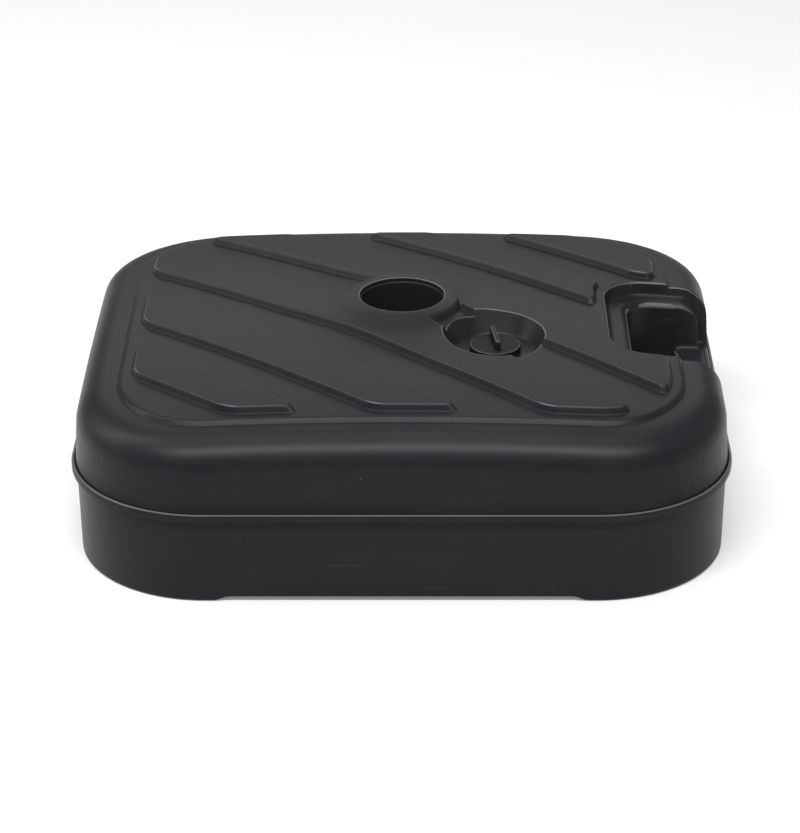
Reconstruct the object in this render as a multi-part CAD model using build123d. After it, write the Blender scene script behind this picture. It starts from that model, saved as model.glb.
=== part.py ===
from build123d import *
import math
import os

# Fillable parasol base: two moulded shells joined at a bead, a blind pole socket in
# the middle, a screw filler cap in a dished recess, and a hand grip in the +X side.
# Frame: origin on the ground under the pole, +Z up, +X towards the hand grip. Millimetres.

# ---- Driving dimensions ----
BEAD_X = 470.0            # over the joint bead, side to side
BEAD_Y = 402.0            # over the joint bead, front to back
BEAD_CORNER = 99.0        # plan radius of the bead's corners
SEAM_Z = 69.0             # height at which the two shells meet
WALL = 3.0                # moulded wall thickness

BEAD_DROP = 5.5           # how far the bead's skirt hangs below the seam
UPPER_INSET = 3.0         # upper wall, inside the bead
LOWER_INSET = 3.5         # lower wall, inside the bead
JOINT_GAP = 0.4           # between the skirt and the lower wall
UPPER_DRAFT = 3.5         # degrees
LOWER_DRAFT = 1.0         # degrees
SHOULDER_R = 22.0         # rounding from the wall to the top
FLOOR_EDGE_R = 2.5        # rounding from the lower wall to the underside
FLOOR_INNER_R = 4.0       # the same corner inside the tray
FOOT_H = 3.0              # corner feet, below the tray's underside
FOOT_W = 38.0             # width of the foot that follows each corner
FOOT_END_X = 128.0        # where the feet stop along the front and the back
FOOT_END_Y = 96.0         # where the feet stop along the sides

PANEL_X = 198.0           # half width of the raised panel
PANEL_Y = 164.0           # half depth of the raised panel
PANEL_CORNER = 63.0
PANEL_STEP = 3.0          # panel above the land around it
PANEL_EDGE_Z = 121.0      # panel height at its corners
CROWN_X = 6.4             # rise of the panel's middle over its sides
CROWN_Y = 8.1             # rise of the panel's middle over its front and back
HUB_TOP_Z = 147.7         # the rim round the pole
HUB_R = 35.0              # the rim is level inside this radius
HUB_FOOT_R = 60.0         # and its swelling meets the panel here

BAND_H = 4.7              # raised bands above the panel
BAND_ANGLE = -39.5        # degrees from +X
BAND_MARGIN = 9.0         # between the bands and the panel's edge
BAND_CORNER = 5.0
# near and far edge of each band, measured from the pole across the bands
BAND_EDGES = ((-196, -166), (-132, -95), (-56, -15), (23, 65), (103, 134), (169, 204))

BORE_R = 30.0             # pole socket
SOCKET_WALL = 3.0
SOCKET_TOP = 144.6        # the socket ends under the shell's rim
RIM_R = 30.8              # the rim's hole, smaller than the socket's outside
SOCKET_SEAT_Z = 6.0       # upper face of the tray floor
LIP_R = 1.4               # rounding of the socket's lip
SEAT_H = 14.0             # ring on the tray floor that centres the socket
COLLAR_BOTTOM_Z = 116.0   # collar under the top that guides the socket
BOSS_R = 41.0
BOSS_TOP_Z = 145.6        # the boss's edge
PRESS = 0.05              # radial gap of a push fit

CAP_X, CAP_Y = 67.3, -50.0    # filler cap
RECESS_R = 36.9           # dish at the level of the bands
RECESS_FLOOR_R = 28.7
RECESS_FLOOR_Z = 125.0
RECESS_TOP_Z = 139.3

CAP_R = 18.4              # screw cap
CAP_TOP_Z = 130.4
CAP_SKIRT_GAP = 0.4       # between the cap's skirt and the recess floor
CAP_SKIRT_WALL = 1.4
CAP_PLATE_Z = 127.0       # underside of the cap's plate
FIN_LENGTH, FIN_WIDTH, FIN_H = 30.0, 4.0, 8.3
FIN_TURN = 97.0           # degrees from +X, cap closed
SEAL_INNER_R, SEAL_OUTER_R, SEAL_H = 15.0, 16.7, 1.9

THREAD_PITCH = 4.0
THREAD_CORE_R = 12.4      # root of the plug's thread
THREAD_CREST_R = 14.0
THREAD_ROOT_WIDTH, THREAD_CREST_WIDTH = 2.2, 1.0
THREAD_GAP = 0.3          # radial clearance in the neck
THREAD_LENGTH = 12.0
NECK_THREAD_Z = 111.5     # start of the neck's ridge
PLUG_THREAD_Z = 113.5     # start of the plug's ridge, half a pitch away
PLUG_LENGTH = 16.0
PLUG_BORE_R = 10.0
NECK_R = 18.5
NECK_BOTTOM_Z = 109.0

NOTCH_X = 150.5           # inner edge of the hand scoop at panel level
NOTCH_Y = 65.0            # its half length
NOTCH_CORNER = 31.0
LEDGE_DROP = 8.0          # the scoop's ledge lies this far inside the shell's own form
POCKET_X = 166.0          # inner wall of the finger pocket
POCKET_Y = 55.0
POCKET_CORNER = 20.0
POCKET_FLOOR_Z = 30.0
BAR_X = 207.0             # inner face of the grip bar
BAR_TOP_Z = 79.0


BASE = (Align.CENTER, Align.CENTER, Align.MIN)    # stands a solid on its lower face
TALL = 400.0                                      # longer than any cut needs
CLEAR = 10.0                                      # how far an open side is cut past the part
BELOW_TOP, ABOVE_TOP = 100.0, 180.0               # heights safely under and over the panel


# ---- Helpers ----
def panel_height(x, y):
    """The crowned top of the raised panel: a parabola each way."""
    crown = CROWN_X * (1 - (x / PANEL_X) ** 2) + CROWN_Y * (1 - (y / PANEL_Y) ** 2)
    return PANEL_EDGE_Z + crown


def under_crown(offset):
    """A solid that fills everything under the panel surface moved up by offset."""
    half_x, half_y, step = 250, 225, 25          # round numbers just outside the bead
    grid = [
        [Vector(x, y, panel_height(x, y) + offset) for x in range(-half_x, half_x + 1, step)]
        for y in range(-half_y, half_y + 1, step)
    ]
    face = Face.make_surface_from_array_of_points(grid, tol=0.05, min_deg=3)
    return Solid.extrude(face, Vector(0, 0, -TALL))


def outline(inset, z=0.0):
    """The base's rounded outline, moved in from the bead by inset."""
    shape = RectangleRounded(BEAD_X - 2 * inset, BEAD_Y - 2 * inset, BEAD_CORNER - inset)
    return Pos(0, 0, z) * shape


def prism(sketch, bottom, top):
    return extrude(Pos(0, 0, bottom) * sketch, amount=top - bottom)


def panel_outline(inset=0.0):
    return RectangleRounded(2 * (PANEL_X - inset), 2 * (PANEL_Y - inset), PANEL_CORNER - inset)


def side_window(inner_x, half_y, corner):
    """A rounded rectangle that opens past the +X side."""
    outer_x = BEAD_X / 2 + corner + CLEAR
    shape = RectangleRounded(outer_x - inner_x, 2 * half_y, corner)
    return Pos((outer_x + inner_x) / 2, 0) * shape


# ---- Upper shell ----
def is_sharp(vertex, edges):
    """True where two edges of an outline meet at a real corner, not at a tangent."""
    directions = []
    for edge in edges:
        for end in (0, 1):
            if (edge @ end - Vector(vertex)).length < 0.01:
                directions.append(edge % end)
    turn = directions[0].get_angle(directions[1]) % 180
    return 8 < turn < 172


def band_outlines():
    """Diagonal strips cut to the panel's inner outline, kept clear of the hand scoop."""
    field = panel_outline(BAND_MARGIN)
    field -= side_window(NOTCH_X - BAND_MARGIN, NOTCH_Y + BAND_MARGIN, NOTCH_CORNER)
    outlines = []
    for near, far in BAND_EDGES:
        strip = Rot(0, 0, BAND_ANGLE) * Pos(0, (near + far) / 2) * Rectangle(2 * TALL, far - near)
        piece = (field & strip).faces().sort_by(SortBy.AREA)[-1]
        corners = [v for v in piece.vertices() if is_sharp(v, piece.edges())]
        outlines.append(piece.fillet_2d(BAND_CORNER, corners))
    return outlines


def recess_cone(grow=0.0):
    """The dish round the filler cap, or with grow the outside of its wall."""
    slope = (RECESS_R - RECESS_FLOOR_R) / (RECESS_TOP_Z - RECESS_FLOOR_Z)
    low = RECESS_FLOOR_Z - grow
    height = RECESS_TOP_Z + CLEAR - low
    low_r = RECESS_FLOOR_R + grow * (1 - slope)
    return Pos(CAP_X, CAP_Y, low) * Cone(low_r, low_r + slope * height, height, align=BASE)


def scoop_space(grow=0.0):
    """The scoop that leads the hand in: down to a ledge that repeats the shell's form further in."""
    plan = side_window(NOTCH_X - grow, NOTCH_Y + grow, NOTCH_CORNER + grow)
    drop = LEDGE_DROP + grow
    ledge = drafted_body(UPPER_INSET + drop, -PANEL_STEP - drop, SHOULDER_R - drop)
    return prism(plan, BAR_TOP_Z - grow, ABOVE_TOP) - ledge


def finger_outline(grow=0.0):
    plan = RectangleRounded(BAR_X - POCKET_X + 2 * grow, 2 * (POCKET_Y + grow), POCKET_CORNER + grow)
    return Pos((BAR_X + POCKET_X) / 2, 0) * plan


def pocket_space(grow=0.0):
    """The open space over the grip bar and the finger pocket behind it."""
    over_bar = side_window(POCKET_X - grow, POCKET_Y + grow, POCKET_CORNER + grow)
    fingers = prism(finger_outline(grow), POCKET_FLOOR_Z - grow, BAR_TOP_Z + 1)
    return prism(over_bar, BAR_TOP_Z - grow, ABOVE_TOP) + fingers


def thread_ridge(wall_r, crest_r, start_z, length):
    """A right-hand helical ridge on a round wall, outwards or inwards to crest_r."""
    path = Helix(THREAD_PITCH, length, wall_r)
    rise = crest_r - wall_r
    bite = -math.copysign(0.3, rise)
    root, crest = THREAD_ROOT_WIDTH / 2, THREAD_CREST_WIDTH / 2
    corners = [(bite, -root), (rise, -crest), (rise, crest), (bite, root)]
    section = Plane(origin=path @ 0, x_dir=(1, 0, 0), z_dir=path % 0)
    ridge = sweep(section * make_face(Polyline(*corners, close=True)), path=path, is_frenet=True)
    return Pos(CAP_X, CAP_Y, start_z) * ridge


def drafted_body(inset, top_offset, shoulder):
    """The upper body's outer form, or with a larger inset the hollow inside it."""
    wall = extrude(outline(inset, SEAM_Z), amount=ABOVE_TOP - SEAM_Z, taper=UPPER_DRAFT)
    body = wall & under_crown(top_offset)
    rim = [edge for edge in body.edges() if edge.bounding_box().min.Z > SEAM_Z + SHOULDER_R]
    return fillet(rim, shoulder)


def panel_hub():
    """The panel's swelling round the pole, a cone from the boss down to the panel."""
    edge_z = BOSS_TOP_Z - BAND_H
    return cone_of((0, edge_z), (BOSS_R, edge_z), (HUB_FOOT_R, panel_height(HUB_FOOT_R, 0)))


def boss():
    """The raised rim round the pole."""
    return cone_of((0, HUB_TOP_Z), (HUB_R, HUB_TOP_Z), (BOSS_R, BOSS_TOP_Z))


def cone_of(*points):
    """A turned solid on the pole's axis, under a line through (radius, height) points."""
    profile = Polyline((0, BELOW_TOP), *points, (points[-1][0], BELOW_TOP), close=True)
    return revolve(Plane.XZ * make_face(profile), axis=Axis.Z)


def make_upper_shell():
    body = drafted_body(UPPER_INSET, -PANEL_STEP, SHOULDER_R)
    body += prism(panel_outline(), BELOW_TOP, ABOVE_TOP) & under_crown(0)
    body += prism(Sketch() + band_outlines(), BELOW_TOP, ABOVE_TOP) & under_crown(BAND_H)
    body += panel_hub() + boss()
    body += prism(outline(0), SEAM_Z - BEAD_DROP, SEAM_Z + 0.5)
    body -= prism(outline(LOWER_INSET - JOINT_GAP), SEAM_Z - BEAD_DROP - 1, SEAM_Z)

    hollow = drafted_body(UPPER_INSET + WALL, -PANEL_STEP - WALL, SHOULDER_R - WALL)
    hollow += prism(outline(UPPER_INSET + WALL), SEAM_Z - 1, SEAM_Z + 0.1)
    hollow += prism(panel_outline(WALL), BELOW_TOP, ABOVE_TOP) & under_crown(-WALL)
    hollow += Pos(0, 0, -WALL) * panel_hub()
    hollow -= recess_cone(WALL)
    hollow -= Pos(CAP_X, CAP_Y, NECK_BOTTOM_Z) * Cylinder(NECK_R, ABOVE_TOP - NECK_BOTTOM_Z, align=BASE)
    collar_r = BORE_R + SOCKET_WALL + WALL
    hollow -= Pos(0, 0, COLLAR_BOTTOM_Z) * Cylinder(collar_r, ABOVE_TOP - COLLAR_BOTTOM_Z, align=BASE)
    hollow -= scoop_space(WALL)
    hollow -= pocket_space(WALL)

    body -= hollow
    body += prism(finger_outline(WALL), POCKET_FLOOR_Z - WALL, BAR_TOP_Z - WALL)
    body -= recess_cone()
    body -= scoop_space()
    body -= pocket_space()
    body -= Cylinder(RIM_R, TALL)
    body -= Cylinder(BORE_R + SOCKET_WALL + PRESS, SOCKET_TOP, align=BASE)
    body -= Pos(CAP_X, CAP_Y, SEAM_Z) * Cylinder(THREAD_CREST_R + THREAD_GAP, TALL, align=BASE)
    body += thread_ridge(THREAD_CREST_R + THREAD_GAP, THREAD_CORE_R + THREAD_GAP,
                         NECK_THREAD_Z, THREAD_LENGTH)
    return body


# ---- Lower shell ----
def tray_form(inset, bottom, top):
    """A tray shape whose walls lean in towards the ground."""
    lean = (SEAM_Z - bottom) * math.tan(math.radians(LOWER_DRAFT))
    return loft([outline(inset + lean, bottom), outline(inset, top)])


def between_feet():
    """The plan of everything that isn't a foot: a cross, and the middle inside the feet."""
    cross = Rectangle(2 * FOOT_END_X, BEAD_Y) + Rectangle(BEAD_X, 2 * FOOT_END_Y)
    return cross + outline(LOWER_INSET + FOOT_W)


def make_lower_shell():
    body = tray_form(LOWER_INSET, 0, SEAM_Z)
    body = fillet(body.faces().sort_by(Axis.Z)[0].edges(), FLOOR_EDGE_R)
    body -= prism(between_feet(), -1, FOOT_H)
    hollow = tray_form(LOWER_INSET + WALL, SOCKET_SEAT_Z, SEAM_Z)
    hollow = fillet(hollow.faces().sort_by(Axis.Z)[0].edges(), FLOOR_INNER_R)
    body -= hollow

    seat_r = BORE_R + SOCKET_WALL + PRESS
    seat = Cylinder(seat_r + WALL, SEAT_H + 1, align=BASE) - Cylinder(seat_r, SEAT_H + 1, align=BASE)
    return body + Pos(0, 0, SOCKET_SEAT_Z - 1) * seat


# ---- Pole socket ----
def make_pole_socket():
    outer_r = BORE_R + SOCKET_WALL
    height = SOCKET_TOP - SOCKET_SEAT_Z
    tube = Cylinder(outer_r, height, align=BASE)
    tube -= Pos(0, 0, SOCKET_WALL) * Cylinder(BORE_R, height, align=BASE)
    lip = tube.edges().filter_by(GeomType.CIRCLE).group_by(Axis.Z)[-1]
    return Pos(0, 0, SOCKET_SEAT_Z) * fillet(lip, LIP_R)


# ---- Filler cap and its seal ----
def make_filler_cap():
    skirt_z = RECESS_FLOOR_Z + CAP_SKIRT_GAP
    disc = Pos(0, 0, skirt_z) * Cylinder(CAP_R, CAP_TOP_Z - skirt_z, align=BASE)
    disc = chamfer(disc.edges().group_by(Axis.Z)[-1], 0.6)
    disc -= Pos(0, 0, skirt_z) * Cylinder(CAP_R - CAP_SKIRT_WALL, CAP_PLATE_Z - skirt_z, align=BASE)
    plug = Pos(0, 0, CAP_PLATE_Z - PLUG_LENGTH) * Cylinder(THREAD_CORE_R, PLUG_LENGTH + 0.5, align=BASE)
    plug -= Pos(0, 0, CAP_PLATE_Z - PLUG_LENGTH) * Cylinder(PLUG_BORE_R, PLUG_LENGTH, align=BASE)
    fin = Pos(0, 0, CAP_TOP_Z - 0.5) * Box(FIN_LENGTH, FIN_WIDTH, FIN_H + 0.5, align=BASE)
    fin = fillet(fin.edges().filter_by(Axis.Z), FIN_WIDTH / 2 - 0.6)
    fin = fillet(fin.faces().sort_by(Axis.Z)[-1].edges(), 0.8)
    cap = Pos(CAP_X, CAP_Y) * (disc + plug + Rot(0, 0, FIN_TURN) * fin)
    return cap + thread_ridge(THREAD_CORE_R, THREAD_CREST_R, PLUG_THREAD_Z, THREAD_LENGTH - 1)


def make_cap_seal():
    ring = Cylinder(SEAL_OUTER_R, SEAL_H, align=BASE) - Cylinder(SEAL_INNER_R, SEAL_H, align=BASE)
    rise = (CAP_PLATE_Z - RECESS_FLOOR_Z - SEAL_H) / 2
    return Pos(CAP_X, CAP_Y, RECESS_FLOOR_Z + rise) * ring


# ---- Write one STEP per piece ----
PIECES = {
    "upper_shell": make_upper_shell,
    "lower_shell": make_lower_shell,
    "pole_socket": make_pole_socket,
    "filler_cap": make_filler_cap,
    "cap_seal": make_cap_seal,
}

os.makedirs("parts", exist_ok=True)
for name, make in PIECES.items():
    piece = make()
    piece.label = name
    export_step(piece, f"parts/{name}.step")
    print(name, "solids", len(piece.solids()), "volume", round(piece.volume))
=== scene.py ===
# %% [markdown]
# # A fillable parasol base in black moulded plastic
# The object is a low water tank made of two mouldings, with a blind socket for the pole in the
# middle, a screw cap in a dish beside it, and a hand grip cut into the +X side. The frame holds
# every size and every moving body. This script gives the pieces their real surfaces: the crowned
# top with its raised bands, the drafted walls, the bead where the shells meet, and the finishes.

# %% Start from the fixed frame
import math

import bmesh
import bpy
import numpy as np
from mathutils import Matrix, Vector
from mathutils.geometry import delaunay_2d_cdt


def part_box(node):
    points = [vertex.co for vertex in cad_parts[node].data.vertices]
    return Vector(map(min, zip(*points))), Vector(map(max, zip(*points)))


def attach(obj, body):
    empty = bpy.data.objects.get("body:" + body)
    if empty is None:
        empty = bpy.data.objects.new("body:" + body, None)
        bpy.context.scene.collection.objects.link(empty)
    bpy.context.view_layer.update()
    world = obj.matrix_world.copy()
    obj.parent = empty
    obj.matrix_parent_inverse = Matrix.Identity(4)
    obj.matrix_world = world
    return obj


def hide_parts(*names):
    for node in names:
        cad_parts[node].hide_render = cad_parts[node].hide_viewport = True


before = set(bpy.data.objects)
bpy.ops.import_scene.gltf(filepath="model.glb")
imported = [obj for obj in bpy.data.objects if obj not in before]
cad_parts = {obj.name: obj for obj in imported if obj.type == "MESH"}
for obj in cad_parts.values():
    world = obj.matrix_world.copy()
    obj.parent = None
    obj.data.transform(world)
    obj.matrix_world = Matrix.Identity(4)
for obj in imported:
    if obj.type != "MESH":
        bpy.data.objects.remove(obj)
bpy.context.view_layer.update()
MM = 0.001

# %% [markdown]
# ## Sizes
# Most shapes repeat the model's driving dimensions, in millimetres. Where the frame can say it,
# a size is read from the frame, so that the surfaces and the solids can't drift apart.

# %% Driving sizes in millimetres
low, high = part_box("upper_shell")
BEAD_X, BEAD_Y = (high.x - low.x) / MM, (high.y - low.y) / MM
SEAM_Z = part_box("lower_shell")[1].z / MM
BEAD_CORNER, BEAD_DROP = 99.0, 5.5
WALL, JOINT_GAP = 3.0, 0.4
UPPER_INSET, LOWER_INSET = 3.0, 3.5
UPPER_DRAFT, LOWER_DRAFT = math.radians(3.5), math.radians(1.0)
SHOULDER_R, FLOOR_EDGE_R, FLOOR_INNER_R = 22.0, 2.5, 4.0
FOOT_H, FOOT_W, FOOT_END_X, FOOT_END_Y = 3.0, 38.0, 128.0, 96.0

PANEL_X, PANEL_Y, PANEL_CORNER = 198.0, 164.0, 63.0
PANEL_STEP, PANEL_EDGE_Z = 3.0, 121.0
CROWN_X, CROWN_Y = 6.4, 8.1
HUB_R = 33.0
RIM_RISE, RIM_FALL = 4.0, 11.0            # the steep swelling close to the rim
SWELL_RISE, SWELL_FALL = 3.5, 34.0        # and the broad one around it

BAND_H, BAND_ANGLE, BAND_MARGIN, BAND_CORNER = 4.7, math.radians(-39.5), 9.0, 5.0
BAND_EDGES = ((-196, -166), (-132, -95), (-56, -15), (23, 65), (103, 134), (169, 204))

socket_low, socket_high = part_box("pole_socket")
SOCKET_R = (socket_high.x - socket_low.x) / 2 / MM
SOCKET_WALL = 3.0
SOCKET_TOP, SOCKET_FOOT = socket_high.z / MM, socket_low.z / MM
SOCKET_HOLE_R, RIM_R = SOCKET_R + 0.05, SOCKET_R - 2.2
COLLAR_BOTTOM_Z, BOSS_R, SEAT_H = 116.0, 41.0, 14.0

seal_low, seal_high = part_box("cap_seal")
CAP_X, CAP_Y = (seal_low.x + seal_high.x) / 2 / MM, (seal_low.y + seal_high.y) / 2 / MM
SEAL_OUTER_R, SEAL_INNER_R = (seal_high.x - seal_low.x) / 2 / MM, 15.0
cap_low, cap_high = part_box("filler_cap")
CAP_R, FIN_H = 18.4, 8.3
CAP_TOP_Z, PLUG_END_Z = cap_high.z / MM - FIN_H, cap_low.z / MM
RECESS_R, RECESS_FLOOR_R = 36.9, 28.7
RECESS_TOP_Z, RECESS_FLOOR_Z = 139.3, 125.0
NECK_BORE_R, NECK_R, NECK_BOTTOM_Z = 14.3, 18.5, 109.0

NOTCH_X, NOTCH_Y, NOTCH_CORNER, LEDGE_DROP = 150.5, 65.0, 31.0, 8.0
POCKET_X, POCKET_Y, POCKET_CORNER, POCKET_FLOOR_Z = 167.5, 55.0, 20.0, 30.0
BAR_X, BAR_TOP_Z, BAR_ROUND, WELL_SPARE = 207.0, 79.0, 7.0, 9.0

# %% [markdown]
# ## Plan view: distances to outlines
# Every edge of a moulded part is a line at a fixed distance from a simple outline seen from
# above. Signed distances, negative inside, therefore describe the whole layout, and an edge that
# is rounded or sloped is only a profile of that distance.

# %% Signed distances, seen from above
def rounded_rectangle(x, y, half_x, half_y, corner, centre_x=0.0):
    """The length of the part outside, plus the depth inside, less the corner's radius."""
    across = np.abs(x - centre_x) - (half_x - corner)
    along = np.abs(y) - (half_y - corner)
    outside = np.hypot(np.maximum(across, 0), np.maximum(along, 0))
    return outside + np.minimum(np.maximum(across, along), 0) - corner


def base_depth(x, y):
    """How far a point lies inside the bead's outline."""
    return -rounded_rectangle(x, y, BEAD_X / 2, BEAD_Y / 2, BEAD_CORNER)


def panel(x, y):
    return rounded_rectangle(x, y, PANEL_X, PANEL_Y, PANEL_CORNER)


def from_pole(x, y):
    return np.hypot(x, y)


def from_cap(x, y):
    return np.hypot(x - CAP_X, y - CAP_Y)


def rounded_meet(a, b, corner):
    """Inside both a and b, with the corner between them rounded."""
    both = np.hypot(np.maximum(a + corner, 0), np.maximum(b + corner, 0))
    return both + np.minimum(np.maximum(a, b), -corner)


OPEN_END = 60                             # far enough out that the far corners don't matter
OPEN_END_X = BEAD_X / 2 + OPEN_END


def side_window(x, y, inner_x, half_y, corner):
    """An opening that runs out past the +X side."""
    half_x, centre = (OPEN_END_X - inner_x) / 2, (OPEN_END_X + inner_x) / 2
    return rounded_rectangle(x, y, half_x, half_y, corner, centre)


def notch(x, y, grow=0.0):
    return side_window(x, y, NOTCH_X - grow, NOTCH_Y + grow, NOTCH_CORNER + grow)


def hand_opening(x, y):
    return side_window(x, y, POCKET_X, POCKET_Y, POCKET_CORNER)


def finger_well(x, y):
    """The well's limit is the bar's inner face; its other sides lie outside the hand opening."""
    half_x, centre = (BAR_X - POCKET_X + WELL_SPARE) / 2, (BAR_X + POCKET_X - WELL_SPARE) / 2
    return rounded_rectangle(x, y, half_x, POCKET_Y + WELL_SPARE, POCKET_CORNER, centre)


def bands(x, y):
    """The raised diagonal bands and the round boss, whichever is nearer."""
    half_x, half_y, corner = (size - BAND_MARGIN for size in (PANEL_X, PANEL_Y, PANEL_CORNER))
    field = rounded_rectangle(x, y, half_x, half_y, corner)
    field = rounded_meet(field, -notch(x, y, BAND_MARGIN), BAND_CORNER)
    across = y * math.cos(BAND_ANGLE) - x * math.sin(BAND_ANGLE)
    nearest = from_pole(x, y) - BOSS_R
    for near, far in BAND_EDGES:
        strip = np.abs(across - (near + far) / 2) - (far - near) / 2
        nearest = np.minimum(nearest, rounded_meet(strip, field, BAND_CORNER))
    return nearest


# %% [markdown]
# ## Profiles across an edge
# A mould has no knife edges. Three profiles make every edge here: a low sloped step for the
# panel and the bands, a steep wall with a rounded lip and foot for the openings, and the drafted
# wall with its big shoulder. Each one also says at which distances a row of points is needed.

# %% Low steps, steep walls and drafted forms
GUARD = 0.9                               # how far a guard row lies from a profile's last row
LEAST_WALL = 1.0                          # kept straight before a lip and a foot shrink


def soft_min(a, b, blend):
    """The lower of a and b, less (blend - gap) squared over four blends where they nearly tie."""
    near = np.maximum(blend - np.abs(a - b), 0.0)
    return np.minimum(a, b) - near * near / (4 * blend)


def soft_max(a, b, blend):
    return -soft_min(-a, -b, blend)


def ramp(distance, height, run, lip, foot):
    """Full height inside the line, nothing beyond run, a slope between, eased lip and foot."""
    slope = height * (1 - distance / run)
    return soft_max(soft_min(slope, height, lip), 0.0, foot)


def ramp_rows(height, run, lip, foot, count=4):
    """Rows across a ramp, with a guard row on each side that keeps worn lines narrow."""
    lip_reach, foot_reach = lip * run / height, foot * run / height
    top = np.linspace(-lip_reach, min(lip_reach, 0.6 * run), count)
    bottom = run + foot_reach * np.linspace(-1, 1, 3)
    return np.concatenate([[top[0] - GUARD], top, bottom, [bottom[-1] + GUARD]])


def quarter(reach, radius):
    """How far a rounded edge has fallen at this reach from the wall: radius less the arc."""
    left = np.clip(radius - reach, 0, radius)
    return radius - np.sqrt(radius ** 2 - left ** 2)


def step_down(distance, upper, lower, lip, foot, run):
    """From upper outside the line to lower inside it: rounded lip, steep wall, rounded foot."""
    room = np.clip((upper - lower) / (lip + foot + LEAST_WALL), 0, 1)
    over = upper - room * quarter(distance, lip)
    under = lower + room * quarter(-run - distance, foot)
    along = np.clip(-distance / run, 0, 1)
    wall = (upper - room * lip) * (1 - along) + (lower + room * foot) * along
    return np.where(distance >= 0, over, np.where(distance <= -run, under, wall))


def step_rows(lip, foot, run, count=5):
    turn = 1 - np.cos(np.linspace(0, math.pi / 2, count))
    return np.concatenate([[lip + GUARD], lip * turn, -run - foot * turn])


def arc_reach(depth, inset, rise, radius, draft):
    """Across a shoulder's arc: 1 where the leaning wall ends, 0 where the flat begins."""
    arc_start = inset + (rise - radius + radius * math.sin(draft)) * math.tan(draft)
    return 1 - (depth - arc_start) / (radius * math.cos(draft))


def drafted(depth, inset, rise, radius, draft):
    """Height over the seam: a wall that leans in by the draft, then an arc into the flat."""
    reach = arc_reach(depth, inset, rise, radius, draft)
    across = np.clip(reach, 0, 1) * radius * math.cos(draft)
    arc = rise - radius + np.sqrt(radius ** 2 - across ** 2)
    return np.where(reach > 1, (depth - inset) / math.tan(draft), arc)


def arc_rows(count):
    return np.cos(np.linspace(0, math.pi / 2, count))


# %% [markdown]
# ## The upper shell as one height function
# The upper shell leaves its mould straight up, so its outside has one height for each point of
# the plan. Writing that height as a function is shorter than modelling the part: each feature
# is one line, and fillets that would fail as solids come from the profiles.

# %% Heights of the upper shell's outside
def crown(x, y):
    """The panel's crowned surface: a parabola each way and a swelling round the pole."""
    rise = CROWN_X * (1 - (x / PANEL_X) ** 2) + CROWN_Y * (1 - (y / PANEL_Y) ** 2)
    beyond = np.maximum(from_pole(x, y) - HUB_R, 0)
    steep = RIM_RISE * np.exp(-((beyond / RIM_FALL) ** 2))
    broad = SWELL_RISE * np.exp(-((beyond / SWELL_FALL) ** 2))
    return PANEL_EDGE_Z + rise + (steep + broad)


PANEL_PROFILE = {"height": PANEL_STEP, "run": 2.4, "lip": 1.6, "foot": 0.5}
BAND_PROFILE = {"height": BAND_H, "run": 2.3, "lip": 1.9, "foot": 0.5}
DISH_EASE, DISH_FOOT_EASE = 0.8, 1.6
NOTCH_PROFILE = {"lip": 2.0, "foot": 4.0, "run": 1.2}
OPENING_PROFILE = {"lip": 6.5, "foot": 4.0, "run": 1.0}
WELL_PROFILE = {"lip": 4.0, "foot": 6.0, "run": 2.0}
BORE_LIP = 0.9
DISH_SLOPE = (RECESS_TOP_Z - RECESS_FLOOR_Z) / (RECESS_R - RECESS_FLOOR_R)


def body_rise(x, y):
    return crown(x, y) - PANEL_STEP - SEAM_Z


def plain_top(x, y):
    """The shell before anything is cut into it: walls, shoulder, panel, bands and boss."""
    depth, rise = base_depth(x, y), body_rise(x, y)
    height = SEAM_Z + drafted(depth, UPPER_INSET, rise, SHOULDER_R, UPPER_DRAFT)
    height = height + ramp(panel(x, y), **PANEL_PROFILE)
    return height + ramp(bands(x, y), **BAND_PROFILE)


def dish(x, y):
    """The cone round the filler cap, with its flat floor."""
    cone = RECESS_FLOOR_Z + (from_cap(x, y) - RECESS_FLOOR_R) * DISH_SLOPE
    return soft_max(cone, RECESS_FLOOR_Z, DISH_FOOT_EASE)


def bar_top(x, y):
    rise = BAR_TOP_Z - SEAM_Z
    return SEAM_Z + drafted(base_depth(x, y), UPPER_INSET, rise, BAR_ROUND, UPPER_DRAFT)


def ledge_form(x, y):
    rise = body_rise(x, y) - LEDGE_DROP
    radius = SHOULDER_R - LEDGE_DROP
    return SEAM_Z + drafted(base_depth(x, y), UPPER_INSET + LEDGE_DROP, rise, radius, UPPER_DRAFT)


def hand_grip(x, y):
    """Inside the notch: a ledge that follows the shell's own form, then the well behind the bar."""
    bar = bar_top(x, y)
    well = step_down(finger_well(x, y), bar, POCKET_FLOOR_Z, **WELL_PROFILE)
    ledge = np.maximum(ledge_form(x, y), bar)
    return step_down(hand_opening(x, y), ledge, well, **OPENING_PROFILE)


GROOVE_DEPTH, GROOVE_HALF = 1.5, 0.7
BEAD_TOP_Z, BEAD_ROUND, BEAD_START = SEAM_Z + 0.5, 1.2, 0.02


def bead(depth):
    """The bead's rounded upper edge and the fine groove between it and the wall."""
    off_line = np.abs(depth - UPPER_INSET + GROOVE_HALF)
    groove = GROOVE_DEPTH * np.clip(1 - off_line / GROOVE_HALF, 0, 1)
    return BEAD_TOP_Z - quarter(depth + BEAD_START, BEAD_ROUND) - groove


def upper_outside(x, y):
    height = soft_min(plain_top(x, y), dish(x, y), DISH_EASE)
    height = height - quarter(from_pole(x, y) - RIM_R, BORE_LIP)
    cut = step_down(notch(x, y), height, hand_grip(x, y), **NOTCH_PROFILE)
    height = np.minimum(height, cut)
    depth = base_depth(x, y)
    return np.where(depth > UPPER_INSET, height, bead(depth))


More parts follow.
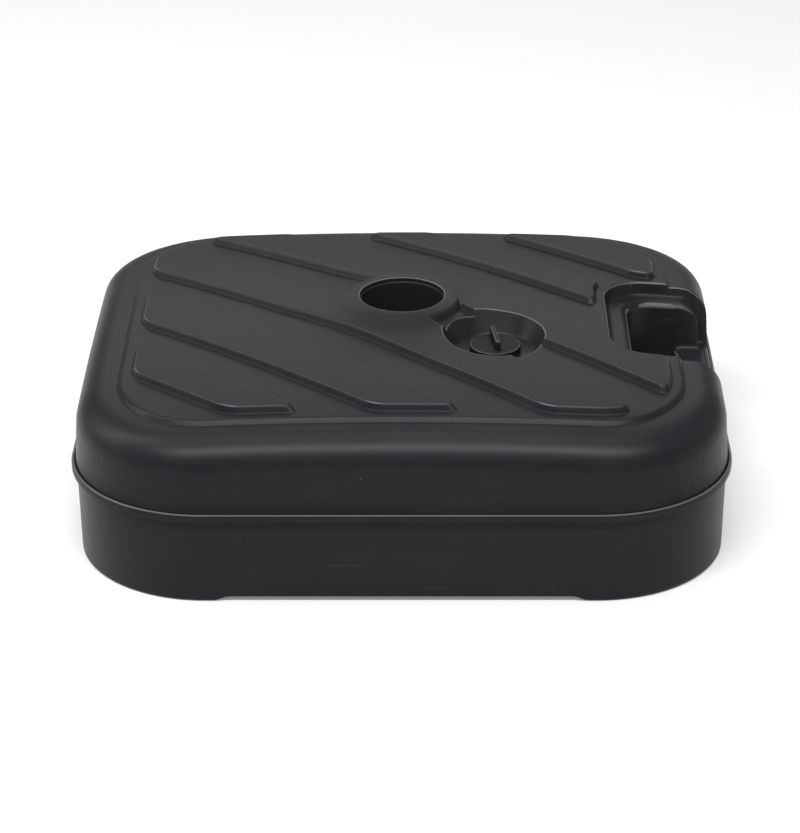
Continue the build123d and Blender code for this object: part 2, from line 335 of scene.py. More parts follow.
BAR_INSIDE_ROUND = 5.0
DISH_INSIDE_R = RECESS_FLOOR_R + 1.5      # where the inside of the dish begins to climb
NOTCH_INSIDE = {"lip": 2.0, "foot": 3.0, "run": 1.6}
OPENING_INSIDE = {"lip": 4.0, "foot": 2.0, "run": 1.6}
WELL_INSIDE = {"lip": 1.0, "foot": 4.0, "run": 1.6}


def upper_inside(x, y):
    """The same forms one wall further in: walls, shoulder, dish, ledge and well, no bands."""
    depth = base_depth(x, y)
    rise = body_rise(x, y) - WALL
    height = SEAM_Z + drafted(depth, UPPER_INSET + WALL, rise, SHOULDER_R - WALL, UPPER_DRAFT)
    cone = RECESS_FLOOR_Z - WALL + np.maximum(from_cap(x, y) - DISH_INSIDE_R, 0) * DISH_SLOPE
    height = np.minimum(height, cone)
    bar_rise = BAR_TOP_Z - SEAM_Z - WALL
    bar = SEAM_Z + drafted(depth, UPPER_INSET + WALL, bar_rise, BAR_INSIDE_ROUND, UPPER_DRAFT)
    well = step_down(finger_well(x, y) - WALL, bar, POCKET_FLOOR_Z - WALL, **WELL_INSIDE)
    ledge_inset, radius = UPPER_INSET + LEDGE_DROP + WALL, SHOULDER_R - LEDGE_DROP - WALL
    ledge = SEAM_Z + drafted(depth, ledge_inset, rise - LEDGE_DROP, radius, UPPER_DRAFT)
    grip = step_down(hand_opening(x, y) - WALL, np.maximum(ledge, bar), well, **OPENING_INSIDE)
    return np.minimum(height, step_down(notch(x, y) - WALL, height, grip, **NOTCH_INSIDE))


# %% [markdown]
# ## From a height function to a mesh
# A plain square grid would cut every sloped edge into stairs. Instead, rows of points are laid
# exactly along the lines where a profile bends, loose points fill the quiet areas, and a
# constrained Delaunay triangulation joins them, so that every edge of the mould is an edge row
# of the mesh.

# %% Rows of points along a line of a field
def plan_grid(half_x, half_y, step):
    sides = [np.linspace(-half, half, int(2 * half / step) + 1) for half in (half_x, half_y)]
    return np.meshgrid(*sides, indexing="ij")


NEWTON_STEPS, NUDGE = 3, 0.02


def onto_line(points, field, level, reach):
    """Newton's method: step back along the slope by the error over the slope's length."""
    for _ in range(NEWTON_STEPS):
        x, y = points.T
        error = field(x, y) - level
        slope = np.stack([field(x + NUDGE, y) - field(x - NUDGE, y),
                          field(x, y + NUDGE) - field(x, y - NUDGE)], -1) / (2 * NUDGE)
        steep = np.maximum((slope ** 2).sum(-1), 1e-6)
        move = -slope * (error / steep)[:, None]
        length = np.maximum(np.linalg.norm(move, axis=-1, keepdims=True), 1e-9)
        points = points + move * np.minimum(1, reach / length)
    return points


def contour(field, level, half, step, where=None):
    """Points where a grid's edges cross field = level, and the pairs that share a grid cell."""
    gx, gy = plan_grid(*half, step)
    value = field(gx, gy) - level
    grid = np.stack([gx, gy], -1)
    points, ids = [], []
    for a, b in (((slice(None, -1), slice(None)), (slice(1, None), slice(None))),
                 ((slice(None), slice(None, -1)), (slice(None), slice(1, None)))):
        crossed = (value[a] > 0) != (value[b] > 0)
        gap = value[a] - value[b] + 1e-12 * (value[a] == value[b])
        share = (value[a] / gap)[crossed][:, None]
        start = sum(len(p) for p in points)
        name = np.full(crossed.shape, -1)
        name[crossed] = start + np.arange(crossed.sum())
        points.append(grid[a][crossed] * (1 - share) + grid[b][crossed] * share)
        ids.append(name)
    sides = np.stack([ids[0][:, :-1], ids[0][:, 1:], ids[1][:-1, :], ids[1][1:, :]], -1)
    pairs = np.sort(sides[(sides >= 0).sum(-1) == 2], axis=-1)[:, 2:]
    points = onto_line(np.concatenate(points), field, level, step / 2)
    if where is not None:
        kept = where(*points.T)
        pairs = pairs[kept[pairs].all(-1)]
    return points, pairs


def ring(radius, count, centre=(0.0, 0.0)):
    turn = np.arange(count) * 2 * math.pi / count
    points = np.stack([centre[0] + radius * np.cos(turn), centre[1] + radius * np.sin(turn)], -1)
    return points, loop_pairs(count)


def loop_pairs(count):
    start = np.arange(count)
    return np.stack([start, (start + 1) % count], -1)


OUTLINE_POINTS = 480


def outline_loop(inset):
    """The base's outline moved in by inset, with as many points on each side and corner."""
    half_x, half_y, corner = BEAD_X / 2 - inset, BEAD_Y / 2 - inset, BEAD_CORNER - inset
    turn = np.linspace(0, 1, OUTLINE_POINTS // 8, endpoint=False)
    points = []
    for quadrant in range(4):
        start = quadrant * math.pi / 2
        sx, sy = ((1, 1), (-1, 1), (-1, -1), (1, -1))[quadrant]
        middle = np.array([sx * (half_x - corner), sy * (half_y - corner)])
        angle = start + turn * math.pi / 2
        arc = middle + corner * np.stack([np.cos(angle), np.sin(angle)], -1)
        last = start + math.pi / 2
        end = middle + corner * np.array([math.cos(last), math.sin(last)])
        mirror = np.array([-1, 1]) if quadrant % 2 == 0 else np.array([1, -1])
        points += [arc, end + (end * mirror - end) * turn[:, None]]
    return np.concatenate(points), loop_pairs(8 * len(turn))


# %% Triangles between the rows
def thin_out(rows, size):
    """Joins points that fall in the same small square, and renumbers the pairs."""
    offsets = np.cumsum([0] + [len(points) for points, _ in rows])
    points = np.concatenate([points for points, _ in rows])
    pairs = np.concatenate([pairs + start for (_, pairs), start in zip(rows, offsets)])
    used = np.zeros(len(points), bool)
    used[pairs.ravel()] = True
    square = np.round(points / size).astype(int)
    _, first, place = np.unique(square, axis=0, return_index=True, return_inverse=True)
    pairs = first[place.ravel()[pairs]]
    pairs = np.unique(np.sort(pairs[pairs[:, 0] != pairs[:, 1]], axis=-1), axis=0)
    kept = np.unique(pairs)
    number = np.full(len(points), -1)
    number[kept] = np.arange(len(kept))
    return points[kept], number[pairs]


def quiet_points(points, half, step, domain):
    """A staggered grid of loose points that keep at least half a step from every row."""
    gx, gy = plan_grid(*half, step)
    gx = gx + np.where(np.arange(gx.shape[1]) % 2, step / 2, 0.0)[None, :]
    loose = np.stack([gx, gy], -1).reshape(-1, 2)
    loose = loose[domain(*loose.T) > step / 2]
    cell = step / 2
    width = int(4 * max(half) / cell)

    def keys(p, dx=0, dy=0):
        square = np.floor(p / cell).astype(int) + [dx, dy]
        return square[:, 0] * width + square[:, 1]

    taken = np.unique(keys(points))
    crowded = np.zeros(len(loose), bool)
    for dx in (-1, 0, 1):
        for dy in (-1, 0, 1):
            crowded |= np.isin(keys(loose, dx, dy), taken)
    return loose[~crowded]


def triangulate(rows, half, step, domain, merge):
    """Plan triangles over the domain, the part where domain(x, y) is above zero."""
    points, pairs = thin_out(rows, merge)
    loose = quiet_points(points, half, step, domain)
    everything = np.concatenate([points, loose])
    result = delaunay_2d_cdt([Vector(p) for p in everything], pairs.tolist(), [], 0, 1e-5)
    plan = np.array([tuple(v) for v in result[0]])
    faces = np.array([f for f in result[2] if len(f) == 3])
    middle = plan[faces].mean(1)
    return plan, faces[domain(*middle.T) > 0]


def height_patch(plan, faces, height, face_down=False):
    vertices = np.column_stack([plan, height(*plan.T)])
    return vertices, faces[:, ::-1] if face_down else faces


def band_between(lower, upper):
    """Quads from one closed loop to another with as many points, facing away from the axis."""
    count = len(lower)
    here, ahead = loop_pairs(count).T
    faces = np.stack([here, ahead, ahead + count, here + count], -1)
    return np.concatenate([lower, upper]), faces


def at_height(loop, z):
    return np.column_stack([loop, np.broadcast_to(z, len(loop))])


# %% [markdown]
# ## Making the mesh object
# Patches are arrays of points and faces. They share their rims exactly, so merging doubles
# makes one closed body. Corners over the sharp angle stay crisp, everything else is smooth.

# %% Patches to one closed piece
SHARP_ANGLE = math.radians(42)
SAME_POINT, NO_LENGTH = 0.002, 0.0005     # below these, points and edges are merged away


def make_piece(name, patches, material, body, replaced):
    """Joins patches, in millimetres, into one mesh in metres that rides on a body."""
    vertices, faces, start = [], [], 0
    for points, polygons in patches:
        vertices.append(np.asarray(points) * MM)
        faces += (np.asarray(polygons) + start).tolist()
        start += len(points)
    mesh = bpy.data.meshes.new(name)
    mesh.from_pydata(np.concatenate(vertices), [], faces)
    mesh.validate()
    piece = bpy.data.objects.new(name, mesh)
    bpy.context.scene.collection.objects.link(piece)
    merge_doubles(mesh)
    mesh.shade_smooth()
    mesh.set_sharp_from_angle(angle=SHARP_ANGLE)
    mesh.materials.append(material)
    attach(piece, body)
    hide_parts(replaced)
    triangles = sum(len(p.vertices) - 2 for p in mesh.polygons)
    print(name, "triangles", triangles, "open edges", open_edges(mesh))
    return piece


def merge_doubles(mesh):
    work = bmesh.new()
    work.from_mesh(mesh)
    bmesh.ops.remove_doubles(work, verts=work.verts, dist=SAME_POINT * MM)
    bmesh.ops.dissolve_degenerate(work, edges=work.edges, dist=NO_LENGTH * MM)
    work.to_mesh(mesh)
    work.free()


def open_edges(mesh):
    sides = np.array([key for p in mesh.polygons for key in p.edge_keys])
    _, uses = np.unique(sides, axis=0, return_counts=True)
    return int((uses != 2).sum())


# %% [markdown]
# ## Finishes
# All of it is black plastic, but a mould leaves more than one kind of surface: a fine spark
# eroded grain on the tank, a smoother face on the cap, and dull rubber on the seal. Shader maths
# is written as ordinary expressions through a small wrapper, so that each finish reads as a
# recipe.

# %% Shader expressions
class Signal:
    """A number that varies over a surface. Arithmetic on it adds Math nodes."""

    def __init__(self, finish, socket):
        self.finish, self.socket = finish, socket

    def math(self, operation, other=0.0, clamp=False):
        return self.finish.node("ShaderNodeMath", {"operation": operation, "use_clamp": clamp},
                                {0: self, 1: other})[0]

    def __add__(self, other):
        return self.math("ADD", other)

    def __sub__(self, other):
        return self.math("SUBTRACT", other)

    def __rsub__(self, other):
        return self * -1.0 + other

    def __mul__(self, other):
        return self.math("MULTIPLY", other)

    __radd__, __rmul__ = __add__, __mul__

    def limit(self):
        return self.math("ADD", 0.0, clamp=True)

    def between(self, low, high):
        """0 below low, 1 above high, eased between."""
        return self.finish.node("ShaderNodeMapRange", {"interpolation_type": "SMOOTHSTEP"},
                                {"Value": self, "From Min": low, "From Max": high})[0]


class Finish:
    """One material and the one way in which nodes are added to it."""

    def __init__(self, name):
        self.material = bpy.data.materials.new(name)
        self.material.use_nodes = True
        self.tree = self.material.node_tree
        self.tree.nodes.clear()

    def node(self, kind, settings=None, inputs=None):
        """Adds a node, applies its settings, fills its sockets, and returns its outputs."""
        made = self.tree.nodes.new(kind)
        for name, value in (settings or {}).items():
            setattr(made, name, value)
        for name, value in (inputs or {}).items():
            if isinstance(value, Signal):
                self.tree.links.new(value.socket, made.inputs[name])
            else:
                made.inputs[name].default_value = value
        return [Signal(self, socket) for socket in made.outputs]

    def noise(self, place, scale, detail=2.0, roughness=0.5):
        inputs = {"Vector": place, "Scale": scale, "Detail": detail, "Roughness": roughness}
        return self.node("ShaderNodeTexNoise", None, inputs)[0]

    def blend(self, share, first, second):
        return self.node("ShaderNodeMix", {"data_type": "RGBA"}, {0: share, 6: first, 7: second})[2]


# %% [markdown]
# ## Moulded plastic
# Black polyethylene is never one flat black. It has a fine grain, broad cloudy patches where
# the melt cooled unevenly, fine scuffs that run along the walls from stacking, and a few specks
# of pale dust. Convex edges that face upwards get a painted highlight, a paler colour in place of
# the light their rounded lips catch. The edges come from an attribute on the mesh, because the
# height function knows where the surface is convex.

# %% The plastic recipe
PALE_DUST = (0.16, 0.155, 0.15, 1.0)
CLOUD_LIFT = 1.32                         # how much lighter the cloudy patches are
DRAWN_OUT = (9.0, 9.0, 620.0)             # scuffs run along the walls, so z is squeezed most


def moulded_plastic(name, shade, highlight_and_scuffs, grain_depth, roughness, scuffs):
    """shade is the plastic's colour and highlight_and_scuffs the pale colour of the painted edge
    highlight and of the scuffs, grain_depth is in millimetres, scuffs is a share.
    """
    finish = Finish(name)
    place = finish.node("ShaderNodeTexCoord")[3]
    facing = finish.node("ShaderNodeNewGeometry")[1]
    up = finish.node("ShaderNodeSeparateXYZ", None, {0: facing})[2]
    upright = 1.0 - up.math("ABSOLUTE").between(0.25, 0.7)

    clouds = finish.noise(place, 14.0, 3.0)
    grain = finish.noise(place, 1150.0, 1.5, 0.6)
    pits = finish.noise(place, 420.0, 2.0)
    flat = finish.node("ShaderNodeMapping", None, {"Vector": place, "Scale": DRAWN_OUT})[0]
    along = finish.noise(flat, 1.0, 3.0, 0.62)
    patches = finish.noise(place, 21.0, 2.0).between(0.45, 0.62)
    lines = along.between(0.57, 0.74) * upright * patches * scuffs
    # painted highlight: the convex, upward-facing edges are blended towards the pale colour, in
    # place of the light that rounded lips catch
    edge = finish.node("ShaderNodeAttribute", {"attribute_name": "painted_highlight"})[2]
    level = up.math("ABSOLUTE").between(0.1, 0.4)
    edge_highlight = (edge.between(0.06, 0.22) * level * (grain * 0.5 + 0.75)).limit()
    specks = finish.node("ShaderNodeTexVoronoi", {"feature": "F1"},
                         {"Vector": place, "Scale": 95.0})
    sparse = finish.noise(place, 33.0, 1.0).between(0.60, 0.68)
    dust = (1.0 - specks[0].between(0.035, 0.07)) * sparse

    lifted = tuple(c * CLOUD_LIFT for c in shade[:3]) + (1.0,)
    colour = finish.blend((clouds.between(0.3, 0.7) * 0.55 + grain * 0.35).limit(), shade, lifted)
    # the pale colour carries both the painted edge highlight and the real scuff lines
    colour = finish.blend((edge_highlight * 0.85 + lines * 0.12).limit(), colour, highlight_and_scuffs)
    colour = finish.blend(dust * 0.35, colour, PALE_DUST)
    rough = grain * 0.10 + clouds * 0.08 + (roughness - 0.09)
    rough = rough + dust * 0.2 - edge_highlight * 0.07 + lines * 0.05
    relief = grain * 0.5 + pits * 0.3 + along * upright * 0.22
    bumped = finish.node("ShaderNodeBump", None,
                         {"Strength": 1.0, "Distance": grain_depth * MM, "Height": relief})[0]
    shader = finish.node("ShaderNodeBsdfPrincipled", None,
                         {"Base Color": colour, "Roughness": rough.limit(), "Normal": bumped,
                          "IOR": 1.5, "Specular IOR Level": 0.13})[0]
    finish.node("ShaderNodeOutputMaterial", None, {"Surface": shader})
    return finish.material


# each finish's second colour is the pale one of its painted edge highlight and of its scuffs
tank_black = moulded_plastic("tank_black", (0.0086, 0.0081, 0.0100, 1),
                             (0.105, 0.102, 0.110, 1), 0.10, 0.38, 1.0)
socket_black = moulded_plastic("socket_black", (0.010, 0.010, 0.011, 1),
                               (0.07, 0.07, 0.072, 1), 0.07, 0.40, 0.4)
cap_black = moulded_plastic("cap_black", (0.0050, 0.0049, 0.0054, 1),
                            (0.06, 0.06, 0.062, 1), 0.04, 0.52, 0.2)
seal_rubber = moulded_plastic("seal_rubber", (0.010, 0.010, 0.0105, 1),
                              (0.03, 0.03, 0.03, 1), 0.05, 0.68, 0.0)
print("finishes:", [m.name for m in (tank_black, socket_black, cap_black, seal_rubber)])

# %% [markdown]
# ## Painted highlight on convex edges
# A surface is convex where it lies above the average of its neighbours. Four samples of the
# height function around each point give that. It counts for less on a steep wall, where a small
# step sideways is a large step down. The result is stored on the mesh, and the material paints it
# as a highlight along the edges.

# %% Convexity of a height function
CONVEXITY_REACH = 0.6
ON_SURFACE = 0.1                          # how near a point is to count as on the outside


def convexity(height, x, y):
    """How far the surface lies above its neighbours, less where it is steep on both sides."""
    here, above, steep = height(x, y), 0.0, 0.0
    for dx, dy in ((CONVEXITY_REACH, 0.0), (0.0, CONVEXITY_REACH)):
        back = (here - height(x - dx, y - dy)) / CONVEXITY_REACH
        ahead = (height(x + dx, y + dy) - here) / CONVEXITY_REACH
        above = above + (back - ahead) / 4
        steep = steep + np.minimum(back ** 2, ahead ** 2)
    return np.clip(above / (1 + steep) ** 1.5, 0, 1)


def painted_highlight(piece, height, floor_z, centre=(0.0, 0.0)):
    """Stores the convexity, which the material paints as an edge highlight, as an attribute on the
    points above floor_z.
    """
    place = np.empty(len(piece.data.vertices) * 3)
    piece.data.vertices.foreach_get("co", place)
    x, y, z = (place.reshape(-1, 3) / MM).T
    outer = np.abs(height(x - centre[0], y - centre[1]) - z) < ON_SURFACE
    highlight_and_scuffs = np.where(outer & (z > floor_z), convexity(height, x - centre[0], y - centre[1]), 0.0)
    # the attribute that the material paints as an edge highlight
    layer = piece.data.attributes.new("painted_highlight", "FLOAT", "POINT")
    layer.data.foreach_set("value", highlight_and_scuffs.astype(np.float32))


# %% [markdown]
# ## Threads
# The cap's plug and the neck both carry a ridge that climbs one pitch in each turn. On a grid of
# height against angle that is one formula: the ridge stands out wherever the height, less the
# climb at this angle, is near a whole number of pitches.

# %% Turned bodies and threads
THREAD_PITCH, THREAD_ROOT, THREAD_CREST = 4.0, 2.2, 1.0
THREAD_FADE, THREAD_STEP = 1.0, 0.25


def thread_ridge(z, turn, start, length):
    """1 on the crest, 0 between the turns, sloping flanks, fading out over THREAD_FADE."""
    climb = z - start - THREAD_PITCH * turn / (2 * math.pi)
    off_centre = np.abs((climb + THREAD_PITCH / 2) % THREAD_PITCH - THREAD_PITCH / 2)
    ridge = np.clip((THREAD_ROOT / 2 - off_centre) / ((THREAD_ROOT - THREAD_CREST) / 2), 0, 1)
    ends = np.minimum(z - start + THREAD_ROOT / 2, start + length + THREAD_ROOT / 2 - z)
    return ridge * np.clip(ends / THREAD_FADE, 0, 1)


def turned(radii, heights, count, centre=(0.0, 0.0)):
    """A body of revolution from its centre line at the bottom, outwards and up.

    A radius is one number, or one for each angle."""
    turn = np.arange(count) * 2 * math.pi / count
    rows = [np.broadcast_to(r, count) for r in radii]
    patches = []
    for r, z, r_next, z_next in zip(rows, heights, rows[1:], heights[1:]):
        near, far = (
            np.column_stack([centre[0] + radius * np.cos(turn), centre[1] + radius * np.sin(turn),
                             np.full(count, z_at)])
            for radius, z_at in ((r, z), (r_next, z_next)))
        patches.append(band_between(near, far))
    return patches


def arc_profile(centre_r, centre_z, radius, start, end, count=7):
    """Points on a circular arc of a profile, from one angle to another in degrees."""
    angle = np.radians(np.linspace(start, end, count))
    return list(zip(centre_r + radius * np.cos(angle), centre_z + radius * np.sin(angle)))


# %% [markdown]
# ## The upper shell
# The shell is one closed body: the outside surface, the bead's skirt that hangs over the lower
# shell, the inside surface, the collar that guides the pole socket and the threaded neck.

# %% Upper shell: the outside
HALF = (BEAD_X / 2 + 3.0, BEAD_Y / 2 + 3.0)
BORE_POINTS, NECK_POINTS = 144, 96
OVERRUN = 2                               # how far rows run on past the edge that ends them
BEAD_ROWS = (0, 0.3, 0.7, BEAD_ROUND, 1.6, 2.3, UPPER_INSET, 3.9, 4.7)
DISH_ROWS = (-2.2, -0.8, -0.4, 0.0, 0.4, 0.8, 2.2)
OUTSIDE_STEP, INSIDE_STEP = 6.0, 9.0      # between the loose points of the quiet areas


def in_notch(x, y):
    return (notch(x, y) < 0) & (base_depth(x, y) > UPPER_INSET)


def beside_notch(x, y):
    return notch(x, y) > -OVERRUN


def on_ledge(x, y):
    return in_notch(x, y) & (hand_opening(x, y) > -OVERRUN)


def in_well(x, y):
    return in_notch(x, y) & (hand_opening(x, y) < -1.5)


def outside_dish(x, y):
    return plain_top(x, y) < dish(x, y) + OVERRUN


def inside_bead(x, y):
    return base_depth(x, y) > UPPER_INSET


def around_neck(radius):
    return ring(radius, NECK_POINTS, (CAP_X, CAP_Y))


def outside_rows():
    """Every line along which the outside of the upper shell bends, and its points' spacing."""
    rows = [outline_loop(inset) for inset in BEAD_ROWS]

    def add(field, levels, step, where):
        rows.extend(contour(field, level, HALF, step, where) for level in levels)

    def add_arc(inset, rise, radius, count, step, where):
        add(lambda x, y: arc_reach(base_depth(x, y), inset, rise(x, y), radius, UPPER_DRAFT),
            arc_rows(count), step, where)

    add_arc(UPPER_INSET, body_rise, SHOULDER_R, 12, 3.4, beside_notch)
    add(panel, ramp_rows(**PANEL_PROFILE), 2.4, beside_notch)
    add(bands, ramp_rows(**BAND_PROFILE), 1.5, outside_dish)
    add(lambda x, y: plain_top(x, y) - dish(x, y), DISH_ROWS, 1.5,
        lambda x, y: from_cap(x, y) > RECESS_FLOOR_R)
    add(notch, step_rows(**NOTCH_PROFILE), 2.2, inside_bead)
    add(hand_opening, step_rows(**OPENING_PROFILE), 2.2, in_notch)
    add(finger_well, step_rows(**WELL_PROFILE), 2.2, in_well)
    add_arc(UPPER_INSET, lambda x, y: BAR_TOP_Z - SEAM_Z, BAR_ROUND, 7, 3.0, in_notch)
    add_arc(UPPER_INSET + LEDGE_DROP, lambda x, y: body_rise(x, y) - LEDGE_DROP,
            SHOULDER_R - LEDGE_DROP, 8, 2.4, on_ledge)
    add(lambda x, y: ledge_form(x, y) - bar_top(x, y), (0.0,), 2.4, on_ledge)

    foot = DISH_FOOT_EASE * (RECESS_R - RECESS_FLOOR_R) / (RECESS_TOP_Z - RECESS_FLOOR_Z)
    rows += [around_neck(RECESS_FLOOR_R + share * foot) for share in (-1, -0.5, 0, 0.5, 1)]
    rows += [around_neck(NECK_BORE_R)]
    rows += [ring(RIM_R + BORE_LIP * share, BORE_POINTS) for share in (0, 0.3, 0.6, 1, 2)]
    return rows


def outside_domain(x, y):
    holes = np.minimum(from_pole(x, y) - RIM_R, from_cap(x, y) - NECK_BORE_R)
    return np.minimum(base_depth(x, y), holes)


outside_plan = triangulate(outside_rows(), HALF, OUTSIDE_STEP, outside_domain, 0.1)
print("outside:", len(outside_plan[0]), "points,", len(outside_plan[1]), "triangles")

# %% Upper shell: the inside
COLLAR_R = SOCKET_HOLE_R + WALL


def inside_rows():
    """The same lines, one wall further in and with fewer points, because they are never seen."""
    rows = [outline_loop(UPPER_INSET + WALL)]

    def add(field, levels, step, where):
        rows.extend(contour(field, level, HALF, step, where) for level in levels)

    add(lambda x, y: arc_reach(base_depth(x, y), UPPER_INSET + WALL, body_rise(x, y) - WALL,
                               SHOULDER_R - WALL, UPPER_DRAFT),
        arc_rows(7), 5.0, lambda x, y: notch(x, y) > WALL)
    for field, profile in ((notch, NOTCH_INSIDE), (hand_opening, OPENING_INSIDE),
                           (finger_well, WELL_INSIDE)):
        add(lambda x, y: field(x, y) - WALL, step_rows(**profile, count=4), 3.0,
            lambda x, y: base_depth(x, y) > UPPER_INSET + WALL)
    rows += [ring(COLLAR_R, BORE_POINTS), around_neck(NECK_R), around_neck(DISH_INSIDE_R)]
    return rows


def inside_domain(x, y):
    depth = base_depth(x, y) - UPPER_INSET - WALL
    return np.minimum(depth, np.minimum(from_pole(x, y) - COLLAR_R, from_cap(x, y) - NECK_R))


inside_plan = triangulate(inside_rows(), HALF, INSIDE_STEP, inside_domain, 0.3)
gx, gy = plan_grid(*HALF, 2.0)
wall_there = (upper_outside(gx, gy) - upper_inside(gx, gy))[inside_domain(gx, gy) > 0.5]
print("inside:", len(inside_plan[1]), "triangles, least wall in mm:", round(wall_there.min(), 2))

# %% Upper shell: skirt, collar, neck, and the finished piece
SKIRT_EASE, STOP_GAP = 0.7, 0.1
NECK_THREAD_Z, THREAD_LENGTH, THREAD_DEPTH = 111.5, 12.0, 1.6


def joined(loops):
    return [band_between(a, b) for a, b in zip(loops, loops[1:])]


def skirt_patches():
    """The bead's face, its lower edge, and the step that the lower shell fits into."""
    insets = (0, SKIRT_EASE, LOWER_INSET - JOINT_GAP, UPPER_INSET + WALL)
    edge, eased, lap, hollow = (outline_loop(inset)[0] for inset in insets)
    bottom = SEAM_Z - BEAD_DROP
    return joined([at_height(hollow, SEAM_Z), at_height(lap, SEAM_Z), at_height(lap, bottom),
                   at_height(eased, bottom), at_height(edge, bottom + SKIRT_EASE),
                   at_height(edge, bead(0.0))])


def collar_patches():
    """Down the rim to the stop over the socket, down inside the collar, and up its outside."""
    rim, bore, outer = (ring(radius, BORE_POINTS)[0] for radius in (RIM_R, SOCKET_HOLE_R, COLLAR_R))
    stop = SOCKET_TOP + STOP_GAP
    return joined([at_height(rim, upper_outside(*rim.T)), at_height(rim, stop),
                   at_height(bore, stop), at_height(bore, COLLAR_BOTTOM_Z),
                   at_height(outer, COLLAR_BOTTOM_Z), at_height(outer, upper_inside(*outer.T))])


def neck_patches():
    """The neck's threaded bore down from the dish, its end, and its outside up to the shell."""
    turn = np.arange(NECK_POINTS) * 2 * math.pi / NECK_POINTS
    heights = np.arange(RECESS_FLOOR_Z, NECK_BOTTOM_Z - 0.1, -THREAD_STEP)
    ridges = [thread_ridge(z, turn, NECK_THREAD_Z, THREAD_LENGTH) for z in heights]
    radii = [NECK_BORE_R] + [NECK_BORE_R - THREAD_DEPTH * ridge for ridge in ridges[1:]]
    bore = turned(radii, list(heights), NECK_POINTS, (CAP_X, CAP_Y))
    outer, end = around_neck(NECK_R)[0], around_neck(NECK_BORE_R)[0]
    return bore + joined([at_height(end, heights[-1]), at_height(outer, heights[-1]),
                          at_height(outer, upper_inside(*outer.T))])


upper_patches = [height_patch(*outside_plan, upper_outside),
                 height_patch(*inside_plan, upper_inside, True)]
upper_patches += skirt_patches() + collar_patches() + neck_patches()
upper_shell = make_piece("upper_shell_skin", upper_patches, tank_black,
                         "base", "upper_shell")
# painted edge highlight on the shell's convex edges
painted_highlight(upper_shell, upper_outside, SEAM_Z - 1)

# %% [markdown]
# ## The lower shell
# The tray leaves its mould the other way up, so it is the same method upside down: one height
# function for the outside seen from below, with the four corner feet as low steps, and one for
# the inside with the ring that seats the pole socket.

# %% Lower shell
FOOT_PROFILE = {"height": FOOT_H, "run": 6.0, "lip": 1.6, "foot": 1.6}
TRAY_FLOOR_Z = SOCKET_FOOT
SEAT_MIDDLE_R, SEAT_HALF = SOCKET_HOLE_R + 1.9, 1.0
SEAT_PROFILE = {"height": SEAT_H, "run": 0.9, "lip": 0.6, "foot": 0.6}
FOOT_CORNER, SEAT_POINTS = 10.0, 96


def feet(x, y):
    """The corner feet: within the foot's width of the wall, and past both ends along the sides."""
    along = np.maximum(FOOT_END_X - np.abs(x), FOOT_END_Y - np.abs(y))
    return rounded_meet(base_depth(x, y) - LOWER_INSET - FOOT_W, along, FOOT_CORNER)


def underside(x, y):
    return FOOT_H - ramp(feet(x, y), **FOOT_PROFILE)


def lower_outside(x, y):
    rise = SEAM_Z - underside(x, y)
    return SEAM_Z - drafted(base_depth(x, y), LOWER_INSET, rise, FLOOR_EDGE_R, LOWER_DRAFT)


def seat_ring(x, y):
    return np.abs(from_pole(x, y) - SEAT_MIDDLE_R) - SEAT_HALF


def lower_inside(x, y):
    rise = SEAM_Z - TRAY_FLOOR_Z
    tray = SEAM_Z - drafted(base_depth(x, y), LOWER_INSET + WALL, rise, FLOOR_INNER_R, LOWER_DRAFT)
    return tray + ramp(seat_ring(x, y), **SEAT_PROFILE)


def floor_reach(x, y):
    return arc_reach(base_depth(x, y), LOWER_INSET, SEAM_Z - underside(x, y),
                     FLOOR_EDGE_R, LOWER_DRAFT)


def tray_reach(x, y):
    return arc_reach(base_depth(x, y), LOWER_INSET + WALL, SEAM_Z - TRAY_FLOOR_Z,
                     FLOOR_INNER_R, LOWER_DRAFT)


def lower_rows():
    rows = [outline_loop(LOWER_INSET + lean) for lean in (0, 0.8, 1.5)]
    rows += [contour(floor_reach, level, HALF, 3.4) for level in arc_rows(7)]
    rows += [contour(feet, level, HALF, 3.0, lambda x, y: base_depth(x, y) > LOWER_INSET + 3)
             for level in ramp_rows(**FOOT_PROFILE)]
    return rows


def lower_inside_rows():
    rows = [outline_loop(LOWER_INSET + WALL + lean) for lean in (0, 1.0)]
    rows += [contour(tray_reach, level, HALF, 5.0) for level in arc_rows(5)]
    rows += [ring(SEAT_MIDDLE_R + side * (SEAT_HALF + level), SEAT_POINTS)
             for level in ramp_rows(**SEAT_PROFILE, count=2) for side in (-1, 1)]
    return rows


lower_plan = triangulate(lower_rows(), HALF, 9.0,
                         lambda x, y: base_depth(x, y) - LOWER_INSET, 0.12)
tray_plan = triangulate(lower_inside_rows(), HALF, 14.0,
                        lambda x, y: base_depth(x, y) - LOWER_INSET - WALL, 0.12)
lower_patches = [
    height_patch(*lower_plan, lower_outside, True),
    height_patch(*tray_plan, lower_inside),
    band_between(at_height(outline_loop(LOWER_INSET)[0], SEAM_Z),
                 at_height(outline_loop(LOWER_INSET + WALL)[0], SEAM_Z)),
]
make_piece("lower_shell_skin", lower_patches, tank_black, "base", "lower_shell")

# %% [markdown]
# ## The pole socket
# A blind tube: its lip shows as a fine ring round the hole, and its bore is all that is seen
# inside. It is a turned body, so its profile is the whole design.

# %% Pole socket
SOCKET_CORNER, SOCKET_INNER_CORNER = 1.0, 2.0


